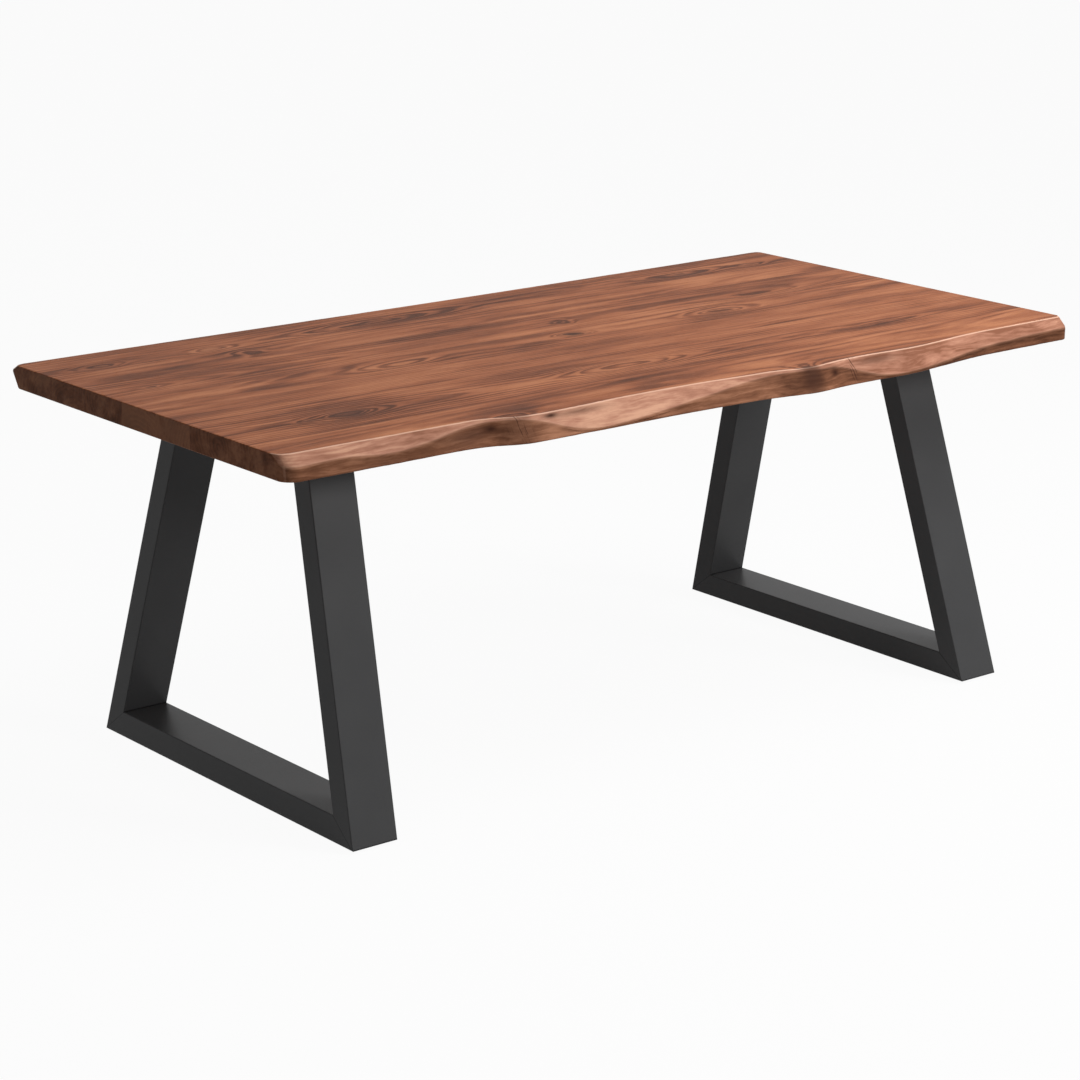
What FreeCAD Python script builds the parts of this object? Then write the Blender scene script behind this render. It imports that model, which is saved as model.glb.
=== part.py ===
"""A live-edge dining table: seven glued boards screwed to two splayed steel frames.

X runs along the top, the front of the table faces -Y, and Z is up.
The origin is on the floor, under the middle of the table. All sizes are in millimetres.
"""
import FreeCAD, Part
import math
import os
from FreeCAD import Vector

# Whole table
table_height = 760.0
top_length = 1930.0
top_thickness = 46.0

# Glued boards: the rear glue line, then the widths of the square-edged boards towards the front
rear_glue_line = 345.0
inner_board_widths = (114.0, 142.0, 119.0, 113.0, 192.0)
end_softening = 2.5

# Live edges: where the bark line starts from the middle, and the width that it wanders in
front_bark_line = 422.0
front_bark_width = 90.0
rear_bark_line = 477.0
rear_bark_width = 35.0
left_front_corner_radius = 30.0
right_front_corner_radius = 16.0
rear_corner_radius = 18.0

# Stations along an edge, as shares of its length from left to right:
# place, top corner, ridge, ridge's drop below the top, bottom corner.
# Corners and ridge are shares of the bark width, and the drop is a share of the thickness.
front_edge_shares = (
    (0.000, 0.02, 0.29, 0.33, 0.33),
    (0.085, 0.02, 0.31, 0.33, 0.34),
    (0.142, 0.03, 0.32, 0.34, 0.33),
    (0.190, 0.03, 0.31, 0.30, 0.33),
    (0.218, 0.09, 0.30, 0.19, 0.44),
    (0.245, 0.32, 0.38, 0.07, 0.68),
    (0.272, 0.40, 0.45, 0.06, 0.72),
    (0.302, 0.39, 0.46, 0.12, 0.72),
    (0.330, 0.37, 0.60, 0.58, 0.71),
    (0.380, 0.30, 0.65, 0.74, 0.69),
    (0.423, 0.29, 0.60, 0.58, 0.68),
    (0.464, 0.30, 0.58, 0.46, 0.69),
    (0.500, 0.34, 0.56, 0.33, 0.71),
    (0.540, 0.41, 0.53, 0.20, 0.75),
    (0.580, 0.49, 0.56, 0.11, 0.88),
    (0.615, 0.67, 0.72, 0.08, 0.99),
    (0.640, 0.60, 0.72, 0.16, 0.94),
    (0.667, 0.53, 0.82, 0.62, 0.90),
    (0.708, 0.52, 0.86, 0.78, 0.89),
    (0.757, 0.57, 0.84, 0.55, 0.89),
    (0.808, 0.49, 0.72, 0.47, 0.76),
    (0.865, 0.34, 0.56, 0.44, 0.59),
    (0.917, 0.32, 0.54, 0.44, 0.56),
    (1.000, 0.30, 0.52, 0.42, 0.54),
)
rear_edge_shares = (
    (0.000, 0.28, 0.92, 0.28, 0.40),
    (0.150, 0.22, 0.98, 0.32, 0.48),
    (0.300, 0.12, 0.86, 0.40, 0.55),
    (0.420, 0.04, 0.70, 0.30, 0.42),
    (0.560, 0.02, 0.78, 0.45, 0.60),
    (0.700, 0.06, 0.92, 0.36, 0.50),
    (0.850, 0.18, 0.98, 0.30, 0.44),
    (1.000, 0.26, 0.90, 0.30, 0.40),
)

# Frames: rectangular tube mitred into a trapezoid, leaning in towards the middle of the table;
# the overhang is from the foot's outer face to the end of the top
frame_end_overhang = 136.0
frame_foot_span = 860.0
frame_head_span = 463.0
frame_lean_degrees = 4.0
tube_width = 100.0
tube_depth = 50.0
tube_wall = 3.0
tube_corner_radius = 2.0

# Flat plate welded across the heads of a frame's uprights, and reaching past them at both ends
plate_overhang = 68.5
plate_thickness = 6.0
plate_corner_radius = 12.0
slot_travel = 12.0

# Screws, washers and threaded inserts that hold a frame's plate to the boards
screw_diameter = 8.0
screw_length = 25.0
screw_head_diameter = 14.0
screw_head_height = 4.4
screw_head_rounding = 2.6
screw_socket_width = 5.0
screw_socket_depth = 2.6
screw_hole_clearance = 0.5
washer_diameter = 24.0
washer_thickness = 2.0
insert_diameter = 12.0
insert_length = 20.0
screw_row_spacing = 56.0
inner_screw_reach = 60.0
outer_screw_overhang = 33.5

# Levelling glides: a plastic base on a threaded stud, in a rivet nut in the floor bar
glide_base_diameter = 28.0
glide_base_height = 5.0
glide_base_rounding = 1.5
glide_stud_diameter = 8.0
glide_stud_length = 25.0
glide_stud_seat = 3.0
glide_inset = 85.0
nut_flange_diameter = 15.0
nut_flange_thickness = 1.0
nut_sleeve_diameter = 11.0
nut_sleeve_length = 13.0

# Radial running clearance of a thread, and the overrun of cutting tools
thread_clearance = 0.05
cut_overrun = 1.0

# Derived sizes
half_length = top_length / 2
underside = table_height - top_thickness
frame_foot_reach = half_length - frame_end_overhang
frame_foot = glide_base_height + nut_flange_thickness
frame_head = underside - plate_thickness
lean = math.tan(math.radians(frame_lean_degrees))
plate_length = frame_head_span + 2 * plate_overhang
outer_screw_reach = frame_head_span / 2 + outer_screw_overhang
upright_slope = (frame_foot_span - frame_head_span) / 2 / (frame_head - frame_foot)
slant_factor = math.hypot(1, upright_slope)


def save(name, shape):
    """Write one named piece, or one group of alike pieces."""
    shape.exportStep(os.path.join("parts", name + ".step"))
    box = shape.BoundBox
    print(name, len(shape.Solids), shape.isValid(), round(shape.Volume),
          [round(v, 2) for v in (box.XMin, box.XMax, box.YMin, box.YMax, box.ZMin, box.ZMax)])


def cylinder(diameter, height, x, y, z):
    """An upright cylinder standing at x, y, z."""
    return Part.makeCylinder(diameter / 2, height, Vector(x, y, z))


# Where the screws and glides go
def frame_middle(side, z):
    """X of a frame's middle plane at a height; side is -1 for the left frame and 1 for the right."""
    return side * (frame_foot_reach - tube_width / 2 - z * lean)


def screw_places(side):
    """The eight screws of one frame, as x, y and the length of the slot that each one sits in."""
    middle = frame_middle(side, frame_head)
    places = []
    for row in (-screw_row_spacing / 2, screw_row_spacing / 2):
        for reach, travel in ((inner_screw_reach, 0), (outer_screw_reach, slot_travel)):
            places.append((middle + row, -reach, travel))
            places.append((middle + row, reach, travel))
    return places


def glide_place(side, end):
    """X and y of one glide; end is -1 at the front and 1 at the rear."""
    return frame_middle(side, frame_foot), end * (frame_foot_span / 2 - glide_inset)


# The boards of the top
def soften_ends(board):
    """Round the top and bottom edges at a board's two ends."""
    edges = []
    for edge in board.Edges:
        box = edge.BoundBox
        on_end = abs(abs(box.Center.x) - half_length) < end_softening / 2
        level = box.ZLength < end_softening / 2 and box.XLength < end_softening / 2
        if on_end and level:
            edges.append(edge)
    return board.makeFillet(end_softening, edges)


def square_board(front, rear):
    """A plain board between two glue lines."""
    board = Part.makeBox(top_length, rear - front, top_thickness, Vector(-half_length, front, underside))
    return soften_ends(board)


def edge_curves(line, band, shares, column, drops, corners):
    """One long line of a live edge that faces +Y, as corner arc, wandering curve and corner arc."""
    left_radius, right_radius = corners
    start = -half_length + left_radius
    run = top_length - left_radius - right_radius
    points = []
    for row, drop in zip(shares, drops):
        x = start + run * row[0]
        points.append(Vector(x, line + band * row[column], table_height - top_thickness * drop))
    wander = Part.BSplineCurve()
    wander.interpolate(Points=points, InitialTangent=Vector(1, 0, 0), FinalTangent=Vector(1, 0, 0))
    return [corner_arc(points[0], -1, left_radius), wander.toShape(),
            corner_arc(points[-1], 1, right_radius)]


def corner_arc(point, end, radius):
    """The plan arc between the wandering curve and an end face, always drawn from left to right."""
    diagonal = radius * math.sqrt(0.5)
    centre = point - Vector(0, radius, 0)
    middle = centre + Vector(end * diagonal, diagonal, 0)
    tip = centre + Vector(end * radius, 0, 0)
    ends = (tip, point) if end < 0 else (point, tip)
    return Part.Arc(ends[0], middle, ends[1]).toShape()


def live_board(line, band, shares, glue_line, corners):
    """A board with a straight glue line on one side and a live edge that faces +Y on the other."""
    level = [0] * len(shares)
    full = [1] * len(shares)
    top_curves = edge_curves(line, band, shares, 1, level, corners)
    ridge_curves = edge_curves(line, band, shares, 2, [row[3] for row in shares], corners)
    bottom_curves = edge_curves(line, band, shares, 4, full, corners)
    faces = []
    for upper, lower in ((top_curves, ridge_curves), (ridge_curves, bottom_curves)):
        for first, second in zip(upper, lower):
            faces.append(Part.makeRuledSurface(first, second))
    glue = [Vector(x, glue_line, z) for x, z in (
        (-half_length, table_height), (half_length, table_height),
        (half_length, underside), (-half_length, underside))]
    left_ends = [curves[0].Vertexes[0].Point for curves in (top_curves, ridge_curves, bottom_curves)]
    right_ends = [curves[2].Vertexes[-1].Point for curves in (top_curves, ridge_curves, bottom_curves)]
    faces.append(flat_side(top_curves, left_ends[0], right_ends[0], glue[0], glue[1]))
    faces.append(flat_side(bottom_curves, left_ends[2], right_ends[2], glue[3], glue[2]))
    faces.append(Part.Face(Part.makePolygon(glue + glue[:1])))
    faces.append(Part.Face(Part.makePolygon([glue[0]] + left_ends + [glue[3], glue[0]])))
    faces.append(Part.Face(Part.makePolygon([glue[1]] + right_ends + [glue[2], glue[1]])))
    shell = Part.makeShell(faces)
    shell.sewShape()
    board = Part.makeSolid(shell)
    if board.Volume < 0:
        board.reverse()
    return soften_ends(board)


def flat_side(curves, left_tip, right_tip, left_glue, right_glue):
    """The top or bottom face of a live-edge board."""
    sides = [Part.makeLine(left_glue, left_tip), Part.makeLine(right_tip, right_glue),
             Part.makeLine(right_glue, left_glue)]
    return Part.Face(Part.Wire(Part.__sortEdges__(curves + sides)))


def insert_holes():
    """The holes in the underside that take every threaded insert."""
    holes = []
    for side in (-1, 1):
        for x, y, _ in screw_places(side):
            holes.append(cylinder(insert_diameter, insert_length, x, y, underside))
    return Part.makeCompound(holes)


def make_boards():
    """The seven glued boards, from the rear to the front."""
    holes = insert_holes()
    front_corners = (left_front_corner_radius, right_front_corner_radius)
    rear_corners = (rear_corner_radius, rear_corner_radius)
    rear = live_board(rear_bark_line, rear_bark_width, rear_edge_shares, rear_glue_line, rear_corners)
    save("board_1_rear_live_edge", rear.cut(holes))
    glue_line = rear_glue_line
    for index, width in enumerate(inner_board_widths):
        board = square_board(glue_line - width, glue_line)
        save("board_%d" % (index + 2), board.cut(holes))
        glue_line -= width
    front = live_board(front_bark_line, front_bark_width, front_edge_shares, -glue_line, front_corners)
    front = front.mirror(Vector(0, 0, 0), Vector(0, 1, 0))
    save("board_%d_front_live_edge" % (len(inner_board_widths) + 2), front.cut(holes))


# The steel frames
def leaning_prism(side, outline, width):
    """A solid with a y, z outline that leans with the frame and is level across its width."""
    points = [Vector(frame_middle(side, z) - width / 2, y, z) for y, z in outline]
    return Part.Face(Part.makePolygon(points + points[:1])).extrude(Vector(width, 0, 0))


def on_mitre(end, share):
    """A point on the mitre of a lower corner, from the outer corner at 0 to the inner one at 1."""
    inner_y = frame_foot_span / 2 - upright_slope * tube_depth - tube_depth * slant_factor
    y = frame_foot_span / 2 + share * (inner_y - frame_foot_span / 2)
    return end * y, frame_foot + share * tube_depth


def on_head(end, depth):
    """A point on the cut head of an upright, at a depth into the tube from its outer face."""
    return end * (frame_head_span / 2 - depth * slant_factor), frame_head


def tube(side, outer_outline, inner_outline, along):
    """A rectangular tube with rounded long edges; along is the direction of its axis."""
    outer = leaning_prism(side, outer_outline, tube_width)
    long_edges = []
    for edge in outer.Edges:
        direction = edge.Vertexes[1].Point - edge.Vertexes[0].Point
        if direction.cross(along).Length < direction.Length * along.Length * tube_corner_radius / tube_width:
            long_edges.append(edge)
    outer = outer.makeFillet(tube_corner_radius, long_edges)
    return outer.cut(leaning_prism(side, inner_outline, tube_width - 2 * tube_wall))


def upright(side, end):
    """A slanting side tube of a frame, mitred at the foot and cut level at the head."""
    near, far = tube_wall, tube_depth - tube_wall
    outer = (on_mitre(end, 0), on_head(end, 0), on_head(end, tube_depth), on_mitre(end, 1))
    inner = (on_mitre(end, near / tube_depth), on_head(end, near),
             on_head(end, far), on_mitre(end, far / tube_depth))
    return tube(side, outer, inner, Vector(-side * lean, -end * upright_slope, 1))


def floor_bar(side):
    """The bottom tube of a frame, mitred at both ends, with a hole for each glide's nut."""
    near, far = tube_wall / tube_depth, 1 - tube_wall / tube_depth
    outer = (on_mitre(-1, 0), on_mitre(1, 0), on_mitre(1, 1), on_mitre(-1, 1))
    inner = (on_mitre(-1, near), on_mitre(1, near), on_mitre(1, far), on_mitre(-1, far))
    bar = tube(side, outer, inner, Vector(0, 1, 0))
    for end in (-1, 1):
        x, y = glide_place(side, end)
        drill = cylinder(nut_sleeve_diameter, tube_wall + 2 * cut_overrun, x, y, frame_foot - cut_overrun)
        bar = bar.cut(drill)
    return bar


def slot(diameter, travel, height, x, y, z):
    """A round hole, stretched along Y by its travel."""
    if travel == 0:
        return cylinder(diameter, height, x, y, z)
    ends = [cylinder(diameter, height, x, y + step, z) for step in (-travel / 2, travel / 2)]
    middle = Part.makeBox(diameter, travel, height, Vector(x - diameter / 2, y - travel / 2, z))
    return middle.fuse(ends).removeSplitter()


def mounting_plate(side):
    """The flat plate on the heads of the uprights; its outer holes are slots, as wood moves in width."""
    corner = Vector(frame_middle(side, frame_head) - tube_width / 2, -plate_length / 2, frame_head)
    plate = Part.makeBox(tube_width, plate_length, plate_thickness, corner)
    upright_edges = [edge for edge in plate.Edges if edge.BoundBox.ZLength > plate_thickness / 2]
    plate = plate.makeFillet(plate_corner_radius, upright_edges)
    hole = screw_diameter + 2 * screw_hole_clearance
    for x, y, travel in screw_places(side):
        cut = slot(hole, travel, plate_thickness + 2 * cut_overrun, x, y, frame_head - cut_overrun)
        plate = plate.cut(cut)
    return plate


# The fasteners
def screw(x, y):
    """A button-head screw, pointing up through the washer and plate into its insert."""
    head_top = frame_head - washer_thickness
    head = cylinder(screw_head_diameter, screw_head_height, x, y, head_top - screw_head_height)
    rim = [edge for edge in head.Edges if edge.BoundBox.ZMax < head_top - screw_head_height / 2]
    head = head.makeFillet(screw_head_rounding, rim)
    shank = cylinder(screw_diameter, screw_length, x, y, head_top)
    corner = screw_socket_width / math.sqrt(3)
    hexagon = []
    for step in range(7):
        turn = step * math.pi / 3
        hexagon.append(Vector(x + corner * math.cos(turn), y + corner * math.sin(turn),
                              head_top - screw_head_height))
    socket = Part.Face(Part.makePolygon(hexagon)).extrude(Vector(0, 0, screw_socket_depth))
    return head.fuse(shank).cut(socket)


def washer(x, y):
    """A flat washer between a screw's head and the plate."""
    bottom = frame_head - washer_thickness
    hole = cylinder(screw_diameter + 2 * screw_hole_clearance, washer_thickness, x, y, bottom)
    return cylinder(washer_diameter, washer_thickness, x, y, bottom).cut(hole)


def insert(x, y):
    """A threaded insert, flush with the underside of the top."""
    bore = cylinder(screw_diameter + 2 * thread_clearance, insert_length, x, y, underside)
    return cylinder(insert_diameter, insert_length, x, y, underside).cut(bore)


def glide_nut(x, y):
    """A rivet nut in the floor bar, with its flange under the bar."""
    height = nut_flange_thickness + nut_sleeve_length
    flange = cylinder(nut_flange_diameter, nut_flange_thickness, x, y, glide_base_height)
    sleeve = cylinder(nut_sleeve_diameter, height, x, y, glide_base_height)
    bore = cylinder(glide_stud_diameter + 2 * thread_clearance, height, x, y, glide_base_height)
    return flange.fuse(sleeve).removeSplitter().cut(bore)


def glide_stud(x, y):
    """The threaded stud of a glide, seated in its base."""
    return cylinder(glide_stud_diameter, glide_stud_length, x, y, glide_base_height - glide_stud_seat)


def glide_base(x, y):
    """The round plastic base of a glide, rounded where it meets the floor."""
    base = cylinder(glide_base_diameter, glide_base_height, x, y, 0)
    rim = [edge for edge in base.Edges if edge.BoundBox.ZMax < glide_base_height / 2]
    return base.makeFillet(glide_base_rounding, rim).cut(glide_stud(x, y))


def make_frame(side, name):
    """One frame with everything that is fixed to it."""
    places = [(x, y) for x, y, _ in screw_places(side)]
    glides = [glide_place(side, end) for end in (-1, 1)]
    save(name + "_front_upright", upright(side, -1))
    save(name + "_rear_upright", upright(side, 1))
    save(name + "_floor_bar", floor_bar(side))
    save(name + "_mounting_plate", mounting_plate(side))
    save(name + "_screws", Part.makeCompound([screw(x, y) for x, y in places]))
    save(name + "_washers", Part.makeCompound([washer(x, y) for x, y in places]))
    save(name + "_threaded_inserts", Part.makeCompound([insert(x, y) for x, y in places]))
    save(name + "_glide_nuts", Part.makeCompound([glide_nut(x, y) for x, y in glides]))
    for end, place in zip(("front", "rear"), glides):
        save("%s_%s_glide_base" % (name, end), glide_base(*place))
        save("%s_%s_glide_stud" % (name, end), glide_stud(*place))


os.makedirs("parts", exist_ok=True)
make_boards()
make_frame(-1, "left")
make_frame(1, "right")
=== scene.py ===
# %% [markdown]
# A dining table with a live-edge top on two leaning steel frames.
# The construction already exists as the frame: every board, tube, screw and glide at its real size.
# This script gives each piece its finish, softens the edges that a hand would soften,
# and sets up a plain studio around the table. All lengths are in metres.

# %% The frame
import bmesh
import bpy
import math
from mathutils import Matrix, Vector, noise


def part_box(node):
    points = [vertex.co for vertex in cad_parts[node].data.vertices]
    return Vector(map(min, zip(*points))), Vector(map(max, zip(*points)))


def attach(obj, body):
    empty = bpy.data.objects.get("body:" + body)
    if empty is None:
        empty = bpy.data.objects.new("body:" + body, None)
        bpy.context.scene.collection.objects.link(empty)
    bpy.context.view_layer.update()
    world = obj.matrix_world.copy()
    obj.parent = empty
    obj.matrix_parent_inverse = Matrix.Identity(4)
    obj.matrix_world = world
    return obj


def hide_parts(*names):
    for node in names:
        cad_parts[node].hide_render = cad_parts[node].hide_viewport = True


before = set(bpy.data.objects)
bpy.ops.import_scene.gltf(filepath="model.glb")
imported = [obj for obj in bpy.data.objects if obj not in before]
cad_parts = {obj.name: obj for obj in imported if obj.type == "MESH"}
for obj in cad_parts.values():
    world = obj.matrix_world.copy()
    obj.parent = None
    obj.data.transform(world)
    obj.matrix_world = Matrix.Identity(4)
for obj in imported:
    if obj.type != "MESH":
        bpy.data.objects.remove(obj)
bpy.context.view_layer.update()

# %% [markdown]
# Measuring first. The top's height and length and a floor bar's corners are read from the frame,
# so that the cuts along the edges and the weld seams land where the pieces really are. The boards'
# glue lines are printed, because the knots and streaks further on are placed between them.

# %% Places on the table
boards = sorted(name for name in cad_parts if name.startswith("board_"))
top_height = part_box(boards[0])[1].z
half_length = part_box(boards[0])[1].x
bar_low, bar_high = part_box("left_floor_bar")
for name in boards:
    low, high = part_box(name)
    print(name, "from y", round(low.y, 3), "to", round(high.y, 3))

# %% [markdown]
# Shader maths as plain maths. A node editor is fine for ten nodes, but the growth rings of a board
# need dozens of sums. A small class wraps a socket, so that a + b or 1 - a adds the Math node itself,
# and one method adds every other kind of node.

# %% A value that can be added, multiplied and compared
class Strand:
    """One value on its way through a finish."""

    def __init__(self, finish, socket):
        self.finish = finish
        self.socket = socket

    def maths(self, operation, *values):
        inputs = dict(enumerate((self,) + values))
        return self.finish.add("ShaderNodeMath", {"operation": operation}, inputs)

    def __add__(self, other):
        return self.maths("ADD", other)

    def __radd__(self, other):
        return self.maths("ADD", other)

    def __sub__(self, other):
        return self.maths("SUBTRACT", other)

    def __rsub__(self, other):
        return (self * -1).maths("ADD", other)

    def __mul__(self, other):
        return self.maths("MULTIPLY", other)

    def __rmul__(self, other):
        return self.maths("MULTIPLY", other)

    def __truediv__(self, other):
        return self.maths("DIVIDE", other)

    def root(self):
        return self.maths("SQRT")

    def size(self):
        return self.maths("ABSOLUTE")

    def fraction(self):
        return self.maths("FRACT")

    def held(self):
        """The value kept between 0 and 1."""
        return self.maths("MAXIMUM", 0.0).maths("MINIMUM", 1.0)

    def step(self, start, end):
        """A smooth climb from 0 to 1 as the value goes from start to end."""
        return self.finish.add("ShaderNodeMapRange", {"interpolation_type": "SMOOTHSTEP"},
                               {0: self, 1: start, 2: end, 3: 0.0, 4: 1.0})

    def hump(self):
        """A soft hill: 1 where the value is 0, and gone by about 2 either way."""
        power = self * self * -1
        return self.finish.add("ShaderNodeMath", {"operation": "POWER"}, {0: math.e, 1: power})

# %% A finish that nodes are added to
class Finish:
    """A material being built, with its surface shader."""

    def __init__(self, name, **constants):
        self.material = bpy.data.materials.new(name)
        self.material.use_nodes = True
        self.tree = self.material.node_tree
        self.surface = self.tree.nodes["Principled BSDF"]
        self.surface_inputs(**constants)

    def add(self, kind, settings=None, inputs=None, output=0):
        node = self.tree.nodes.new(kind)
        for name, value in (settings or {}).items():
            if name == "stops":
                self.set_stops(node.color_ramp, value)
            else:
                setattr(node, name, value)
        for name, value in (inputs or {}).items():
            self.feed(node.inputs[name], value)
        return Strand(self, node.outputs[output])

    def set_stops(self, ramp, stops):
        while len(ramp.elements) < len(stops):
            ramp.elements.new(1.0)
        for element, (place, colour) in zip(ramp.elements, stops):
            element.position = place
            element.color = (*colour, 1.0)

    def feed(self, socket, value):
        if isinstance(value, Strand):
            self.tree.links.new(value.socket, socket)
        else:
            socket.default_value = value

    def surface_inputs(self, **values):
        for name, value in values.items():
            self.feed(self.surface.inputs[name.replace("_", " ")], value)

    def mark(self, name):
        """A number that was stored on the points of the mesh."""
        return self.add("ShaderNodeAttribute", {"attribute_name": name}, output="Fac")

    def place(self):
        """X, Y and Z on the piece, in metres."""
        spot = self.add("ShaderNodeTexCoord", output="Object")
        return [self.add("ShaderNodeSeparateXYZ", inputs={0: spot}, output=i) for i in range(3)]

    def facing(self):
        """X, Y and Z of the direction that the surface faces."""
        way = self.add("ShaderNodeNewGeometry", output="Normal")
        return [self.add("ShaderNodeSeparateXYZ", inputs={0: way}, output=i) for i in range(3)]

    def noise(self, x, y, z, detail=2.0, roughness=0.5):
        """Cloudy variation between 0 and 1, as fine as the given coordinates are large."""
        spot = self.add("ShaderNodeCombineXYZ", inputs={0: x, 1: y, 2: z})
        inputs = {"Vector": spot, "Scale": 1.0, "Detail": detail, "Roughness": roughness}
        return self.add("ShaderNodeTexNoise", inputs=inputs)

    def even_noise(self, spots, scale, **texture):
        """Noise alike in all directions; the scale is how many clouds fit in a metre."""
        x, y, z = spots
        return self.noise(x * scale, y * scale, z * scale, **texture)

    def figure(self, spots, along, across, seed, **texture):
        """Noise drawn out along the grain: how many clouds fit in a metre along it, and across it."""
        x, y, z = spots
        return self.noise(x * along + seed, y * across, z * across, **texture)

    def ramp(self, value, *stops):
        return self.add("ShaderNodeValToRGB", {"stops": stops}, {0: value})

    def blend(self, share, first, second):
        """Two colours mixed; share 0 is the first and 1 the second."""
        settings = {"data_type": "RGBA", "clamp_factor": True}
        return self.add("ShaderNodeMix", settings, {0: share, 6: first, 7: second}, output=2)

    def paint(self, share, under, colour):
        """A plain colour laid over another; share 0 leaves it bare and 1 covers it."""
        return self.blend(share, under, (*colour, 1.0))

    def relief(self, height, distance, strength):
        """A bump whose height runs from 0 to 1 over the given distance."""
        inputs = {"Height": height, "Distance": distance, "Strength": strength}
        self.surface_inputs(Normal=self.add("ShaderNodeBump", inputs=inputs))

# %% [markdown]
# The wood. A flat-sawn board cuts through the tree's growth rings, which are nested cones round the
# pith. Where the cut runs nearly along a cone it shows long arches, and a knot pushes the rings aside,
# so they close round it like ripples. A picture of wood would repeat and smear on the end grain.
# A solid pattern doesn't: the distance from the pith is worked out at every point of the board, so
# the top, the wandering edge and the end grain all show cuts through the same tree.

# %% Colours of the wood
WOOD_DARK = (0.077, 0.024, 0.0102)
WOOD_BROWN = (0.174, 0.055, 0.0235)
WOOD_WARM = (0.288, 0.095, 0.041)
WOOD_LIGHT = (0.440, 0.171, 0.078)
KNOT_BROWN = (0.040, 0.014, 0.008)
SAPWOOD_BROWN = (0.230, 0.094, 0.055)
SAPWOOD = (0.395, 0.186, 0.121)
SAPWOOD_PALE = (0.560, 0.305, 0.200)
# Below the ridge: browner wood, darkened further as painted shade under the overhang.
SHADED_UNDER_DARK = (0.085, 0.032, 0.016)
SHADED_UNDER_BROWN = (0.185, 0.076, 0.040)
SHADED_UNDER_LIGHT = (0.350, 0.160, 0.090)
# Painted highlight: this pale colour on the worn arris stands in for light catching the rounded corner.
HIGHLIGHT_AND_WORN_WOOD = (0.72, 0.45, 0.33)
END_DARK = (0.070, 0.028, 0.015)
END_BROWN = (0.150, 0.066, 0.038)
END_LIGHT = (0.290, 0.140, 0.082)

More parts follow.
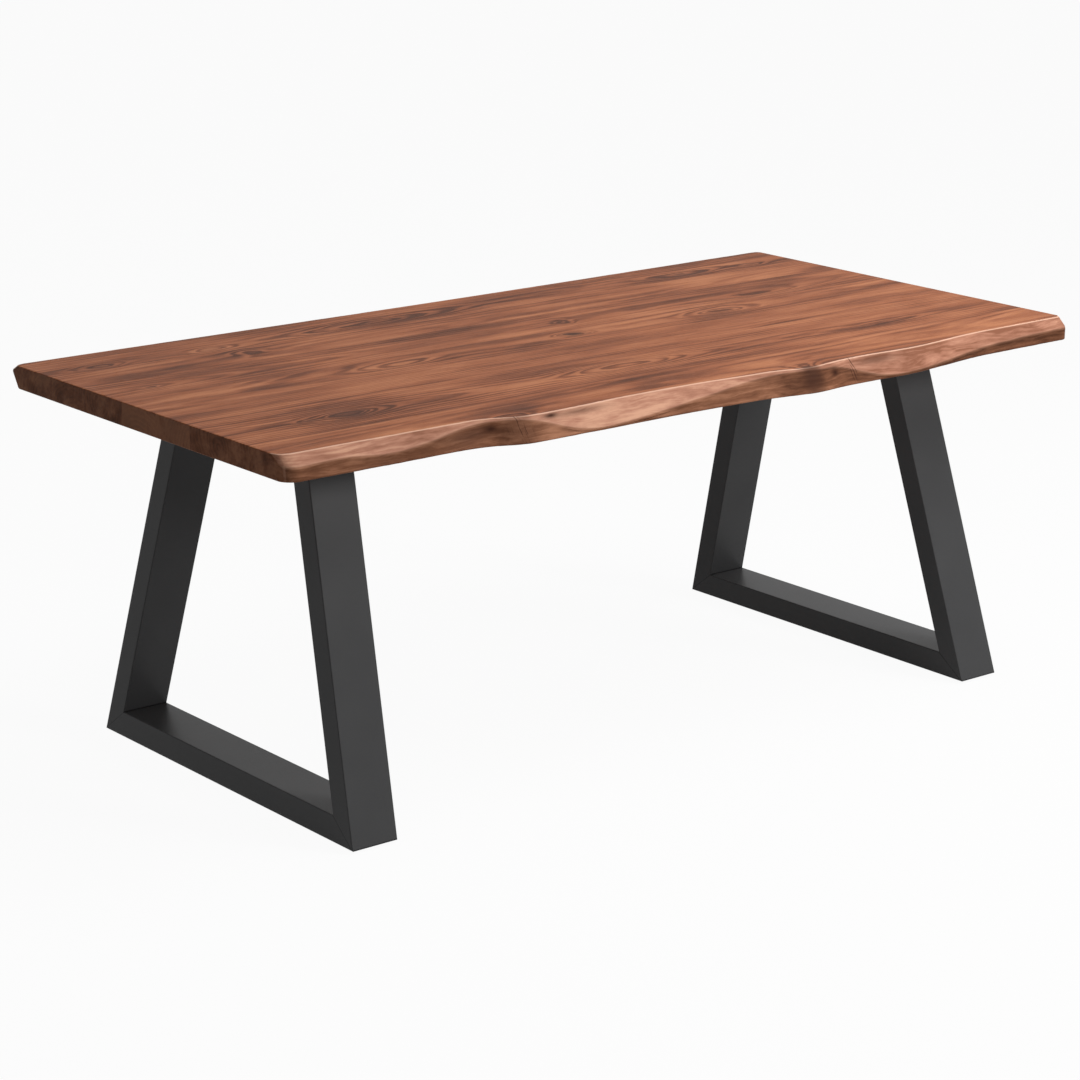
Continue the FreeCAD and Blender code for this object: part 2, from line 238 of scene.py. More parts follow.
# %% What each board was cut from
# For each board: its pith's place across and below the top, how the pith climbs along X, a tone
# from dark to light and how much lighter its end grain is, its knots as x, y, reach along, reach
# across, push on the rings and darkness, and its clouds as x, y, reach along, reach across and tone.
# A live edge also has eyes, where a branch met the bark, as x, z, reach along, reach up and darkness,
# stretches as x, z, two reaches and tone, and cracks as x, y and two reaches.
TREES = {
    "board_1_rear_live_edge": dict(pith=0.395, depth=0.055, climb=0.018, tone=-0.02, end=0.06, knots=(
        (-0.845, 0.372, 0.050, 0.024, 0.024, 0.35), (-0.590, 0.372, 0.045, 0.020, 0.014, 0.15),
        (-0.190, 0.385, 0.160, 0.032, 0.026, 0.10), (0.640, 0.380, 0.100, 0.024, 0.020, 0.35),
        (0.850, 0.372, 0.050, 0.016, 0.014, 0.15)), clouds=(
        (-0.870, 0.380, 0.090, 0.035, -0.10), (-0.130, 0.372, 0.140, 0.020, -0.16),
        (0.620, 0.385, 0.120, 0.034, -0.22), (-0.380, 0.430, 0.180, 0.020, 0.10)),
        eyes=((-0.610, 0.740, 0.060, 0.016, 0.50), (0.330, 0.742, 0.090, 0.018, 0.45)),
        stretches=(), cracks=()),
    "board_2": dict(pith=0.250, depth=0.075, climb=-0.030, tone=0.05, end=0.03, knots=(
        (-0.552, 0.308, 0.035, 0.034, 0.012, 0.10),), clouds=(
        (-0.560, 0.300, 0.070, 0.045, -0.16), (-0.800, 0.250, 0.150, 0.020, -0.10),
        (0.300, 0.290, 0.260, 0.024, 0.08))),
    "board_3": dict(pith=0.165, depth=0.050, climb=0.030, tone=0.0, end=0.04, knots=(
        (-0.860, 0.160, 0.024, 0.010, 0.010, 0.40), (0.112, 0.146, 0.022, 0.028, 0.014, 0.50),
        (0.640, 0.112, 0.130, 0.024, 0.020, 0.10)), clouds=(
        (-0.180, 0.212, 0.360, 0.016, -0.18), (0.112, 0.160, 0.035, 0.050, -0.14),
        (0.910, 0.200, 0.090, 0.030, 0.14), (-0.780, 0.140, 0.130, 0.022, 0.10))),
    "board_4": dict(pith=0.035, depth=0.060, climb=-0.022, tone=0.02, end=0.22, knots=(
        (0.055, 0.037, 0.032, 0.018, 0.030, 1.0), (0.447, 0.030, 0.080, 0.034, 0.028, 0.12),
        (-0.380, 0.027, 0.080, 0.024, 0.018, 0.05)), clouds=(
        (-0.780, 0.050, 0.180, 0.016, 0.26), (-0.680, 0.012, 0.140, 0.012, -0.18),
        (-0.920, 0.004, 0.070, 0.012, 0.22), (0.900, 0.050, 0.080, 0.016, 0.24),
        (0.890, 0.018, 0.100, 0.012, -0.20), (0.440, 0.010, 0.090, 0.040, -0.10),
        (0.060, 0.040, 0.080, 0.036, -0.10), (-0.370, 0.030, 0.110, 0.030, 0.08))),
    "board_5": dict(pith=-0.190, depth=0.090, climb=0.020, tone=0.07, end=0.15, knots=(), clouds=(
        (0.760, -0.036, 0.160, 0.012, 0.22), (0.760, -0.115, 0.200, 0.022, -0.12),
        (0.050, -0.050, 0.110, 0.026, -0.10))),
    "board_6": dict(pith=-0.246, depth=0.040, climb=0.012, tone=0.02, end=0.01, knots=(
        (-0.696, -0.250, 0.070, 0.034, 0.036, 0.70), (-0.780, -0.250, 0.028, 0.014, 0.012, 0.45),
        (-0.046, -0.241, 0.140, 0.042, 0.036, 0.06), (0.597, -0.268, 0.170, 0.018, 0.016, 0.30)),
        clouds=((-0.700, -0.260, 0.130, 0.070, -0.12), (-0.100, -0.180, 0.150, 0.026, -0.14),
                (-0.080, -0.306, 0.150, 0.022, -0.14), (0.590, -0.272, 0.170, 0.018, -0.20),
                (0.800, -0.290, 0.060, 0.030, 0.12), (-0.430, -0.230, 0.070, 0.020, 0.10))),
    "board_7_front_live_edge": dict(pith=-0.395, depth=0.110, climb=-0.015, tone=0.05, end=0.07,
        knots=((-0.480, -0.462, 0.050, 0.036, 0.030, 0.45), (0.222, -0.490, 0.042, 0.036, 0.034, 0.70)),
        clouds=((0.200, -0.400, 0.200, 0.030, 0.14), (-0.750, -0.410, 0.220, 0.018, 0.16),
                (-0.480, -0.430, 0.070, 0.030, -0.16), (0.650, -0.400, 0.200, 0.030, 0.08)),
        eyes=((-0.522, 0.744, 0.014, 0.006, 1.00), (-0.570, 0.738, 0.075, 0.012, 0.60),
              (-0.400, 0.754, 0.016, 0.004, 1.00), (-0.330, 0.752, 0.060, 0.005, 0.55),
              (0.283, 0.743, 0.012, 0.009, 1.00), (0.215, 0.738, 0.040, 0.014, 0.45),
              (0.400, 0.750, 0.055, 0.007, 0.55)),
        stretches=((-0.290, 0.740, 0.160, 0.200, 0.06), (0.700, 0.740, 0.420, 0.300, -0.07)),
        cracks=((-0.472, -0.462, 0.030, 0.026), (0.335, -0.480, 0.022, 0.022))),
}
print("knots:", sum(len(tree["knots"]) for tree in TREES.values()))

# %% Knots
WAVE_ALONG = 0.050
WAVE_ACROSS = 0.030

def hill(spots, place):
    """1 in the middle of a place, falling away over its reach along and its reach across."""
    middle_along, middle_across, reach_along, reach_across = place[:4]
    along = (spots[0] - middle_along) / reach_along
    across = (spots[1] - middle_across) / reach_across
    return (along * along + across * across).root().hump()

def waved(finish, spots, seed):
    """The place on the board moved a little back and forth, so that no knot is a perfect oval."""
    x, y, z = spots
    first = finish.figure(spots, 11.0, 30.0, seed) - 0.5
    second = finish.noise(x * 9.0, y * 34.0 + seed, z * 30.0) - 0.5
    return [x + first * WAVE_ALONG, y + second * WAVE_ACROSS, z]

# %% Growth rings
RING_WIDTH = 0.0092
DRIFT_ACROSS = 0.07
DRIFT_BELOW = 0.05
SWAY = 0.020
RIPPLE = 0.0065
UNEVEN_YEARS = 1.1

def ring_count(finish, spots, tree, hearts, seed):
    """How many growth rings lie between the pith and this point."""
    x, y, z = spots
    drift = finish.figure(spots, 0.9, 3.0, seed, detail=1.0) - 0.5
    sway = finish.figure(spots, 2.6, 14.0, seed) - 0.5
    ripple = finish.figure(spots, 12.0, 48.0, seed, detail=3.0, roughness=0.6) - 0.5
    across = y - tree["pith"] + drift * DRIFT_ACROSS
    below = z - top_height + tree["depth"] + x * tree["climb"] + drift * DRIFT_BELOW
    distance = (across * across + below * below).root() + sway * SWAY + ripple * RIPPLE
    for knot, heart in zip(tree["knots"], hearts):
        push = knot[4]
        distance = distance - heart * push
    uneven = finish.noise(distance * 90.0, seed, x * 0.7, detail=1.0) - 0.5
    return distance / RING_WIDTH + uneven * UNEVEN_YEARS

# %% [markdown]
# Colour comes in layers, as a sawn board shows it: broad streaks of darker and lighter heartwood,
# the thin dark line that ends each year's ring, fine fibres along the grain, and pores. Each layer is a
# noise that is stretched along the grain, and its strength says how far it moves the tone.

# %% How strongly each layer shows
MIDDLE_TONE = 0.52
GRAIN_WANDER = 0.060
STREAKS = 1.20
BLUSH = 0.95
FIBRES = 0.62
SEASONS = 0.36
RING_MIDDLE = 0.40
RINGS = 0.09
RINGS_IN_PATCHES = 0.24
RINGS_AT_KNOTS = 0.36
CLOUDS = 1.3
PORES = 0.20
CRACKS = 0.7
END_GRAIN = 0.70

# %% Heartwood
def wood_tone(finish, spots, tree, hearts, seed, rings):
    """How light the wood is, from 0 for dark heartwood to 1 for the palest streaks."""
    x, y, z = spots
    wander = finish.figure(spots, 2.6, 5.0, seed, detail=3.0) - 0.5
    grain = [x, y + wander * GRAIN_WANDER, z]
    streaks = finish.figure(grain, 1.9, 28.0, seed, detail=5.0, roughness=0.62) - 0.5
    blush = finish.figure(grain, 3.4, 10.0, seed, detail=3.0) - 0.5
    fibres = finish.figure(grain, 9.0, 360.0, seed, detail=3.0, roughness=0.70) - 0.5
    # A year's ring darkens slowly and ends in a sharp line.
    year = rings.fraction()
    late = year.step(0.10, 0.66) - year.step(0.72, 1.0)
    season = finish.noise(rings * 0.60, seed, 0.5, roughness=0.6) - 0.5
    strength = finish.figure(grain, 2.2, 15.0, seed).step(0.34, 0.66) * RINGS_IN_PATCHES
    for heart in hearts:
        strength = strength + heart.root() * RINGS_AT_KNOTS
    tone = MIDDLE_TONE + tree["tone"] + streaks * STREAKS + blush * BLUSH + fibres * FIBRES
    return tone + (RING_MIDDLE - late) * (RINGS + strength) + season * SEASONS

def wood_pores(finish, spots, seed):
    """Short dark dashes along the grain, each about as long as a grain of rice."""
    return finish.figure(spots, 70.0, 620.0, seed, detail=1.0).step(0.60, 0.72)

# %% [markdown]
# A live edge has its own colours: pale sapwood on the upper slope, browner wood with painted shade below
# the ridge, dark eyes where branches met the bark, and a painted highlight on the worn corner along the
# top.
# The slopes wander, so a height alone can't tell them apart. Every point of the skin that is made
# further on carries two marks: its slope (0 on the top, 1 above the ridge, 2 below it) and its painted
# highlight and wear.

# %% The live edge's colours
EDGE_CONTRAST = 0.34
SLOPE_WOBBLE = 0.25
# How strongly the arris is lightened, which is painted highlight as well as wear.
HIGHLIGHT_AND_WEAR = 0.90

def live_edge_colour(finish, spots, tree, colour, side_on, seed):
    """Sapwood on the upper slope of a live edge, browner wood with painted shade below its ridge, and a
    worn arris with a painted highlight.
    """
    x, y, z = spots
    swirl = finish.figure(spots, 7.0, 22.0, seed) - 0.5
    mottle = finish.figure(spots, 14.0, 50.0, seed, detail=4.0, roughness=0.6)
    grain = finish.noise(x * 5.0 + z * 20.0 + seed, y * 30.0, z * 170.0 + swirl * 6.0,
                         detail=4.0, roughness=0.65)
    tone = mottle * EDGE_CONTRAST + grain * EDGE_CONTRAST + (0.5 - EDGE_CONTRAST)
    for stretch in tree["stretches"]:
        lighter = stretch[4]
        tone = tone + hill((x, z), stretch) * lighter
    pale = finish.ramp(tone, (0.40, SAPWOOD_BROWN), (0.50, SAPWOOD), (0.60, SAPWOOD_PALE))
    # Painted shade: below the ridge the colour is darker, for the shade under the overhang as well as
    # browner wood.
    below = finish.ramp(tone, (0.38, SHADED_UNDER_DARK), (0.49, SHADED_UNDER_BROWN), (0.61, SHADED_UNDER_LIGHT))
    slope = (finish.mark("slope") + (mottle - 0.5) * SLOPE_WOBBLE) * side_on
    edge = finish.blend(slope.step(1.30, 1.70), pale, below)
    for eye in tree["eyes"]:
        darkness = eye[4]
        shade = hill((x, z), eye) * slope.step(0.30, 0.90) * darkness * (0.55 + mottle * 0.9)
        edge = finish.paint(shade.held(), edge, KNOT_BROWN)
    colour = finish.blend(slope.step(0.15, 0.75), colour, edge)
    # Painted highlight: the arris, and faintly the ridge, turn paler for light catching the rounding, on
    # top of wear.
    lit_and_worn_arris = finish.mark("wear") * (0.60 + mottle * 0.8) * side_on
    return finish.paint(lit_and_worn_arris.held() * HIGHLIGHT_AND_WEAR, colour, HIGHLIGHT_AND_WORN_WOOD)

def drying_cracks(finish, spots, crack, seed):
    """Thin dark checks across the grain, close to a knot."""
    x, y, z = spots
    lines = finish.noise(x * 300.0 + y * 60.0, y * 24.0 + seed, z * 24.0, detail=1.0)
    return lines.step(0.60, 0.68) * hill(spots, crack).step(0.20, 0.80)

# %% The end grain's colour
def end_grain_colour(finish, spots, tree, seed):
    """Dark, mottled wood, as where the saw went across the fibres."""
    x, y, z = spots
    mottle = finish.noise(x * 6.0, y * 26.0 + seed, z * 26.0, detail=4.0, roughness=0.6)
    return finish.ramp(mottle + tree["end"], (0.36, END_DARK), (0.50, END_BROWN), (0.64, END_LIGHT))

# %% [markdown]
# Each board gets a finish of its own, because boards that are glued side by side come from different
# trees. The layers are laid in the order in which they cover each other. The oil leaves a soft, low
# sheen, a little rougher along the fibres and in the pores.

# %% A finish for each board
SEED_STEP = 11.3
GRAIN_DEPTH = 0.00035

def oiled_wood(name, tree, seed):
    finish = Finish("oiled_wood_" + name, Specular_IOR_Level=0.03)
    spots = finish.place()
    facing = finish.facing()
    bent = waved(finish, spots, seed)
    hearts = [hill(bent, knot) for knot in tree["knots"]]
    rings = ring_count(finish, spots, tree, hearts, seed)
    tone = wood_tone(finish, spots, tree, hearts, seed, rings)
    for cloud in tree["clouds"]:
        lighter = cloud[4]
        tone = tone + hill(bent, cloud) * lighter * CLOUDS
    colour = finish.ramp(tone.held(), (0.06, WOOD_DARK), (0.34, WOOD_BROWN), (0.56, WOOD_WARM),
                         (0.90, WOOD_LIGHT))
    pores = wood_pores(finish, spots, seed)
    colour = finish.paint(pores * PORES, colour, WOOD_DARK)
    end_on = facing[0].size().step(0.72, 0.95)
    if "live_edge" in name:
        not_below = (facing[2] + 1).step(0.03, 0.14)
        side_on = (1 - end_on) * not_below
        colour = live_edge_colour(finish, spots, tree, colour, side_on, seed)
        for crack in tree["cracks"]:
            colour = finish.paint(drying_cracks(finish, spots, crack, seed) * CRACKS, colour, KNOT_BROWN)
    for knot, heart in zip(tree["knots"], hearts):
        darkness = knot[5]
        colour = finish.paint(heart.step(0.45, 1.0) * darkness, colour, KNOT_BROWN)
    colour = finish.blend(end_on * END_GRAIN, colour, end_grain_colour(finish, spots, tree, seed))
    fibres = finish.figure(spots, 12.0, 420.0, seed)
    finish.surface_inputs(Base_Color=colour, Roughness=0.40 + fibres * 0.16 + pores * 0.12)
    finish.relief(fibres * 0.5 + (1 - pores) * 0.5, GRAIN_DEPTH, 0.6)
    return finish.material

wood = {}
for index, name in enumerate(boards):
    wood[name] = oiled_wood(name, TREES[name], SEED_STEP * (index + 1))
print("wood finishes:", len(wood))

# %% [markdown]
# Dressing the boards. The shape of the square ones is already right, so they keep the frame's own mesh
# and only change what is in their material slots. The two live edges get a new skin after that.

# %% Dressing a piece of the frame
def dress(name, material):
    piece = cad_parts[name]
    for place in range(len(piece.material_slots)):
        piece.material_slots[place].material = material

for name in boards:
    dress(name, wood[name])
print("boards dressed:", len(boards))

# %% [markdown]
# The live edges. On the real table the saw left the tree's outline, and a hand then sanded the sharp
# corner along the top and wore the ridge smooth. The frame has the plain outline, so each live-edge
# board is skinned anew: the frame's board is cut across at many places along X, and every cut gives
# the corner points of the edge there. Each corner is rounded, the slopes between them get gentle
# hollows, and a skin is stretched from cut to cut. Glue lines stay sharp, or the joints would open.

# %% Where to cut, close together near the ends
CUT_SPACING = 0.008
END_CUTS = (0.0, 0.00025, 0.0007, 0.0014, 0.0025, 0.004, 0.006, 0.0085, 0.0115, 0.015, 0.019, 0.024)
END_ZONE = 0.030

def cut_places():
    inner = half_length - END_ZONE
    count = round(2 * inner / CUT_SPACING)
    left = [-half_length + gap for gap in END_CUTS]
    middle = [-inner + 2 * inner * step / count for step in range(count + 1)]
    right = [half_length - gap for gap in reversed(END_CUTS)]
    return left + middle + right

print("cuts along a live edge:", len(cut_places()))

# %% How far the ridge runs below the top
# Pairs of place along the edge and drop, both as shares: of the length, and of the thickness.
FRONT_RIDGE = ((0.000, 0.42), (0.030, 0.40), (0.056, 0.33), (0.075, 0.38), (0.100, 0.52), (0.124, 0.54),
               (0.160, 0.34), (0.200, 0.14), (0.235, 0.05), (0.270, 0.10), (0.305, 0.60), (0.335, 0.88),
               (0.365, 0.86), (0.410, 0.74), (0.476, 0.46), (0.541, 0.18), (0.580, 0.10), (0.620, 0.08),
               (0.655, 0.15), (0.688, 0.60), (0.716, 0.88), (0.750, 0.87), (0.807, 0.77), (0.868, 0.60),
               (0.930, 0.46), (1.000, 0.42))
REAR_RIDGE = ((0.000, 0.28), (0.150, 0.32), (0.300, 0.40), (0.420, 0.30), (0.560, 0.45), (0.700, 0.36),
              (1.000, 0.30))
AVERAGE_STEP = 0.006
AVERAGE_STEPS = 3

def ridge_drop(x, ridge):
    """The drop at x, as an average over a few centimetres, so that the line has no kinks."""
    total = 0.0
    for step in range(-AVERAGE_STEPS, AVERAGE_STEPS + 1):
        place = min(1.0, max(0.0, (x + half_length) / (2 * half_length) + step * AVERAGE_STEP))
        for (start, first), (end, second) in zip(ridge, ridge[1:]):
            if start <= place <= end:
                total += first + (second - first) * (place - start) / (end - start)
                break
    return total / (2 * AVERAGE_STEPS + 1)

# %% One cut across a board
JUST_INSIDE = 0.00001
SAME_HEIGHT = 0.0002
CLEAR_OF_GLUE = 0.01

def cut_points(name, x):
    """Every point of the board's outline at x, as Y and Z."""
    reach = half_length - JUST_INSIDE
    board = bmesh.new()
    board.from_mesh(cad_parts[name].data)
    pieces = board.verts[:] + board.edges[:] + board.faces[:]
    cut = bmesh.ops.bisect_plane(board, geom=pieces, plane_co=(max(-reach, min(reach, x)), 0, 0),
                                 plane_no=(1, 0, 0))["geom_cut"]
    points = [(spot.co.y, spot.co.z) for spot in cut if isinstance(spot, bmesh.types.BMVert)]
    board.free()
    return points

def corners_at(name, x, side, ridge):
    """A section's five corners at x: glue line, arris along the top, ridge, underside, glue line."""
    spots = [(y * side, z) for y, z in cut_points(name, x)]
    top = max(z for _, z in spots)
    bottom = min(z for _, z in spots)
    glue = min(y for y, _ in spots)
    edge = sorted((z, y) for y, z in spots if y > glue + CLEAR_OF_GLUE)
    upper = max(y for z, y in edge if z > top - SAME_HEIGHT)
    lower = max(y for z, y in edge if z < bottom + SAME_HEIGHT)
    height = top - (top - bottom) * ridge_drop(x, ridge)
    below = max((z, y) for z, y in edge if z <= height)
    above = min((z, y) for z, y in edge if z > height)
    share = (height - below[0]) / (above[0] - below[0])
    crest = below[1] + (above[1] - below[1]) * share
    corners = ((glue, top), (upper, top), (crest, height), (lower, bottom), (glue, bottom))
    return [Vector((x, y * side, z)) for y, z in corners]

# %% Rounding the corners and hollowing the slopes
ROUND_STEPS = 4
SLOPE_STEPS = 5
MOST_OF_A_SIDE = 0.45
SWELLS_ALONG = 21.0
SWELLS_ACROSS = 34.0

def rounded(before, corner, after, reach):
    """A corner replaced with a short curve that starts and ends on its two sides."""
    room = min((before - corner).length, (after - corner).length) * MOST_OF_A_SIDE
    start = corner + (before - corner).normalized() * min(reach, room)
    end = corner + (after - corner).normalized() * min(reach, room)
    curve = []
    for step in range(ROUND_STEPS + 1):
        share = step / ROUND_STEPS
        curve.append(start.lerp(corner, share).lerp(corner.lerp(end, share), share))
    return curve

def hollowed(start, end, side, depth):
    """Points between two curves on a slope, pushed in by more in some places than in others."""
    points = []
    inward = Vector((0, -side, 0))
    for step in range(1, SLOPE_STEPS):
        share = step / SLOPE_STEPS
        spot = start.lerp(end, share)
        place = Vector((spot.x * SWELLS_ALONG, spot.y * SWELLS_ACROSS, spot.z * SWELLS_ACROSS))
        swell = 0.5 + 0.5 * noise.noise(place)
        points.append(spot + inward * (depth * swell * math.sin(math.pi * share)))
    return points

# %% The outline of one cut
ARRIS_ROUND = 0.0028
RIDGE_ROUND = 0.0050
LOWER_ROUND = 0.0040
UPPER_HOLLOW = 0.0012
LOWER_HOLLOW = 0.0030
HOLLOW_FADE = 0.06
# The ridge gets a faint share of the same painted highlight and wear.
CREST_HIGHLIGHT_AND_WEAR = 0.08

def cut_outline(corners, side):
    """The rounded outline of one cut, as points, each with its slope mark and its mark of painted
    highlight and wear.
    """
    glue_top, upper, ridge, lower, glue_bottom = corners
    fade = min(1.0, (half_length - abs(ridge.x)) / HOLLOW_FADE)
    arris = rounded(glue_top, upper, ridge, ARRIS_ROUND)
    crest = rounded(upper, ridge, lower, RIDGE_ROUND)
    foot = rounded(ridge, lower, glue_bottom, LOWER_ROUND)
    upper_slope = hollowed(arris[-1], crest[0], side, UPPER_HOLLOW * fade)
    lower_slope = hollowed(crest[-1], foot[0], side, LOWER_HOLLOW * fade)
    outline = [(glue_top, 0.0, 0.0)]
    # The middle of the arris's curve carries the most painted highlight and wear.
    for step, point in enumerate(arris):
        share = step / ROUND_STEPS
        outline.append((point, share, math.sin(math.pi * share)))
    outline += [(point, 1.0, 0.0) for point in upper_slope]
    for step, point in enumerate(crest):
        share = step / ROUND_STEPS
        outline.append((point, 1.0 + share, CREST_HIGHLIGHT_AND_WEAR * math.sin(math.pi * share)))
    outline += [(point, 2.0, 0.0) for point in lower_slope + foot]
    return outline + [(glue_bottom, 2.0, 0.0)]

# %% Stretching the skin
def skin(name, outlines):
    """A closed solid over a row of outlines with equal numbers of points."""
    shape = bmesh.new()
    # The second mark is the share of painted highlight and wear.
    marks = [shape.verts.layers.float.new(mark) for mark in ("slope", "wear")]
    rows = []
    for outline in outlines:
        rows.append([])
        for point, *values in outline:
            rows[-1].append(shape.verts.new(point))
            for mark, value in zip(marks, values):
                rows[-1][-1][mark] = value
    for first, second in zip(rows, rows[1:]):
        for place in range(len(first)):
            after = (place + 1) % len(first)
            shape.faces.new((first[place], first[after], second[after], second[place]))
    shape.faces.new(rows[0])
    shape.faces.new(rows[-1])
    bmesh.ops.recalc_face_normals(shape, faces=shape.faces[:])
    mesh = bpy.data.meshes.new(name)
    shape.to_mesh(mesh)
    shape.free()
    piece = bpy.data.objects.new(name, mesh)
    bpy.context.scene.collection.objects.link(piece)
    return piece

# %% The two live-edge boards
SMOOTH_ANGLE = 40.0

def live_edge_board(name, side, ridge):
    cuts = [corners_at(name, x, side, ridge) for x in cut_places()]
    piece = skin("shaped_" + name, [cut_outline(cut, side) for cut in cuts])
    piece.data.materials.append(wood[name])
    bpy.ops.object.select_all(action="DESELECT")
    piece.select_set(True)
    bpy.context.view_layer.objects.active = piece
    bpy.ops.object.shade_smooth_by_angle(angle=math.radians(SMOOTH_ANGLE))
    bpy.ops.object.modifier_add(type="WEIGHTED_NORMAL")
    piece.modifiers[-1].keep_sharp = True
    bpy.ops.object.modifier_apply(modifier=piece.modifiers[-1].name)
    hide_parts(name)
    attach(piece, "table")
    print(piece.name, "faces:", len(piece.data.polygons))

live_edge_board(boards[0], 1, REAR_RIDGE)
live_edge_board(boards[-1], -1, FRONT_RIDGE)

# %% [markdown]
# Powder coat on steel. The powder melts into a skin with a fine, even pebble that breaks up
# reflections. The tubes are welded at the mitres and ground flush, which leaves a faint line
# under the coat, so the finish draws that line where the floor bar meets the uprights.

# %% The ground seam at the foot corners
SEAM_CLIMB = math.radians(37.1)
SEAM_WIDTH = 0.0012

def mitre_seam(spots):
    """1 on the line that climbs inward from a bar's lowest outer corner, 0 away from it."""
    out = spots[1].size() - bar_high.y
    up = spots[2] - bar_low.z
    return ((out * math.sin(SEAM_CLIMB) + up * math.cos(SEAM_CLIMB)) / SEAM_WIDTH).hump()

# %% The frames' finish
COAT_DARK = (0.042, 0.042, 0.043)
COAT_LIGHT = (0.056, 0.056, 0.057)
SEAM_BLACK = (0.006, 0.006, 0.006)
PEBBLE_DEPTH = 0.00012

def powder_coat():
    finish = Finish("powder_coated_steel", Specular_IOR_Level=0.10)
    spots = finish.place()
    pebble = finish.even_noise(spots, 900.0)
    waves = finish.even_noise(spots, 90.0, detail=1.0)
    cast = finish.even_noise(spots, 5.0)
    seam = mitre_seam(spots)
    colour = finish.ramp(cast * 0.7 + pebble * 0.3, (0.30, COAT_DARK), (0.70, COAT_LIGHT))
    colour = finish.paint(seam * 0.85, colour, SEAM_BLACK)
    finish.surface_inputs(Base_Color=colour, Roughness=0.33 + pebble * 0.10)
    finish.relief(pebble * 0.7 + waves * 0.3 - seam * 0.8, PEBBLE_DEPTH, 0.8)
    return finish.material

coat = powder_coat()
for side in ("left", "right"):
    for part in ("front_upright", "rear_upright", "floor_bar", "mounting_plate"):
        dress(side + "_" + part, coat)
        print("coated:", side, part)

# %% [markdown]
# Small steel and plastic. Screws are blackened, which leaves a dull oily black with paler wear.
# Inserts, nuts and studs are zinc plated, a soft grey with a slightly blue, cloudy sheen.
# The glides are moulded in black nylon, whose skin is faintly grained.

# %% Finishes of the small parts
SCREW_BLACK = (0.028, 0.028, 0.030)
SCREW_WORN = (0.11, 0.11, 0.112)
ZINC_DULL = (0.50, 0.51, 0.53)
ZINC_BRIGHT = (0.66, 0.67, 0.68)
NYLON_BLACK = (0.018, 0.018, 0.019)
NYLON_SCUFFED = (0.042, 0.042, 0.043)

def blackened_steel():
    finish = Finish("blackened_screws", Metallic=1.0)
    wear = finish.even_noise(finish.place(), 260.0, detail=4.0, roughness=0.65)
    colour = finish.ramp(wear, (0.35, SCREW_BLACK), (0.75, SCREW_WORN))
    finish.surface_inputs(Base_Color=colour, Roughness=0.34 + wear * 0.22)
    finish.relief(wear, 0.00005, 0.5)
    return finish.material

def zinc_plate():
    finish = Finish("plated_steel", Metallic=1.0)
    spots = finish.place()
    x, y, z = spots
    cloud = finish.even_noise(spots, 140.0, detail=3.0)
    turning = finish.noise(x * 60.0, y * 60.0, z * 2400.0)
    colour = finish.ramp(cloud, (0.30, ZINC_DULL), (0.70, ZINC_BRIGHT))
    finish.surface_inputs(Base_Color=colour, Roughness=0.26 + cloud * 0.16)
    finish.relief(turning, 0.00006, 0.5)
    return finish.material

def moulded_nylon():
    finish = Finish("glide_plastic")
    spots = finish.place()
    grain = finish.even_noise(spots, 1100.0)
    scuff = finish.even_noise(spots, 120.0, detail=3.0)
    colour = finish.ramp(scuff, (0.30, NYLON_BLACK), (0.75, NYLON_SCUFFED))
    finish.surface_inputs(Base_Color=colour, Roughness=0.52 + scuff * 0.15)
    finish.relief(grain, 0.00008, 0.6)
    return finish.material

# %% Dressing the small parts
screw_finish = blackened_steel()
zinc_finish = zinc_plate()
small_finishes = {"_screws": screw_finish, "_washers": screw_finish, "_glide_base": moulded_nylon(),
                  "_glide_stud": zinc_finish, "_threaded_inserts": zinc_finish,
                  "_glide_nuts": zinc_finish}
dressed = 0
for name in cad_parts:
    for ending, material in small_finishes.items():
        if name.endswith(ending):
            dress(name, material)
            dressed += 1
print("small parts dressed:", dressed)

# %% [markdown]
# The studio: a pale floor, soft light and the camera. One wide lamp hangs above and in front, and a
# smaller one stands in front, far to the right, so the front is lit and the left end falls into shade.
# The floor and the sky show white to the camera and to reflections, while their light stays plain,
# and the floor still shows part of the table's shadow.

# %% The floor
WHITE_FOR = ("Is Camera Ray", "Is Glossy Ray", "Is Transmission Ray")
WHITE_SHARE = 0.95
FLOOR_GREY = (0.60, 0.60, 0.60, 1.0)
FLOOR_SIZE = 60.0

def pale_floor():
    finish = Finish("studio_floor", Roughness=0.9, Base_Color=FLOOR_GREY)
    camera_ray, glossy_ray, through_ray = [finish.add("ShaderNodeLightPath", output=name)
                                           for name in WHITE_FOR]
    white = (camera_ray + glossy_ray + through_ray).held() * WHITE_SHARE
    plain = Strand(finish, finish.surface.outputs[0])
    glow = finish.add("ShaderNodeEmission", inputs={"Color": (1.0, 1.0, 1.0, 1.0), "Strength": 1.0})
    both = finish.add("ShaderNodeMixShader", inputs={0: white, 1: plain, 2: glow})
    finish.feed(finish.tree.nodes["Material Output"].inputs["Surface"], both)
    return finish.material

bpy.ops.object.select_all(action="DESELECT")
bpy.ops.mesh.primitive_plane_add(size=FLOOR_SIZE, location=(0, 0, 0))
floor = bpy.context.active_object
floor.name = "studio_floor"
floor.data.materials.append(pale_floor())
print("floor:", tuple(round(size, 1) for size in floor.dimensions))

# %% The sky
SKY_LIGHT = 0.14

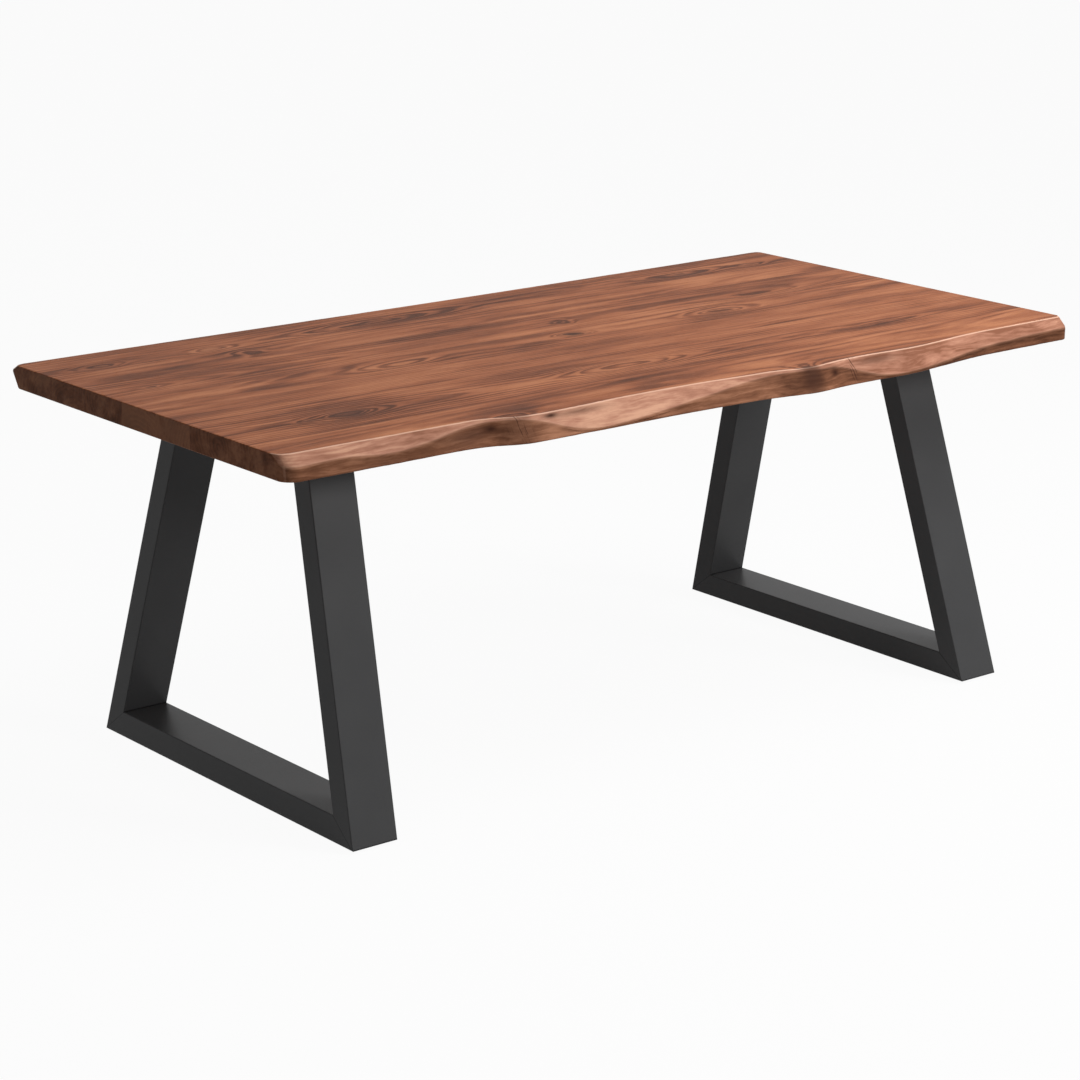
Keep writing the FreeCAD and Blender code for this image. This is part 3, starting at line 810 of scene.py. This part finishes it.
world = bpy.data.worlds.new("studio_light")
bpy.context.scene.world = world
world.use_nodes = True
sky_tree = world.node_tree
background = sky_tree.nodes["Background"]
rays = sky_tree.nodes.new("ShaderNodeLightPath")
seen = rays.outputs[WHITE_FOR[0]]
for name in WHITE_FOR[1:]:
    either = sky_tree.nodes.new("ShaderNodeMath")
    either.operation = "MAXIMUM"
    sky_tree.links.new(seen, either.inputs[0])
    sky_tree.links.new(rays.outputs[name], either.inputs[1])
    seen = either.outputs[0]
level = sky_tree.nodes.new("ShaderNodeMapRange")
level.inputs["To Min"].default_value = SKY_LIGHT
level.inputs["To Max"].default_value = 1.0
sky_tree.links.new(seen, level.inputs["Value"])
sky_tree.links.new(level.outputs[0], background.inputs["Strength"])
background.inputs["Color"].default_value = (1.0, 1.0, 1.0, 1.0)
print("sky nodes:", len(sky_tree.nodes))

# %% The lamps
def soft_lamp(name, place, target, width, watts):
    bpy.ops.object.light_add(type="AREA", location=place)
    lamp = bpy.context.active_object
    lamp.name = name
    lamp.data.size = width
    lamp.data.energy = watts
    lamp.rotation_euler = (Vector(target) - Vector(place)).to_track_quat("-Z", "Y").to_euler()
    print(name, "lights from", place)

soft_lamp("key_lamp", place=(1.6, -1.5, 4.2), target=(0.0, 0.0, 0.7), width=2.8, watts=172.0)
soft_lamp("front_lamp", place=(2.8, -4.8, 2.5), target=(0.0, 0.0, 0.5), width=1.2, watts=150.0)

# %% [markdown]
# The camera stands where the photograph was taken from: about six metres off and a little above
# head height, with a long lens. Place, angles and lens come from matching the table's straight edges.

# %% The camera
CAMERA_PLACE = (-3.7788, -4.6979, 2.0538)
CAMERA_TILT = 74.197
CAMERA_TURN = -38.374
LENS = 102.83
SENSOR_WIDTH = 36.0

bpy.ops.object.camera_add(location=CAMERA_PLACE,
                          rotation=(math.radians(CAMERA_TILT), 0.0, math.radians(CAMERA_TURN)))
camera = bpy.context.active_object
camera.name = "photograph_camera"
camera.data.lens = LENS
camera.data.sensor_width = SENSOR_WIDTH
bpy.context.scene.camera = camera
bpy.context.scene.view_settings.view_transform = "Standard"
print("lens:", LENS, "from", CAMERA_PLACE)
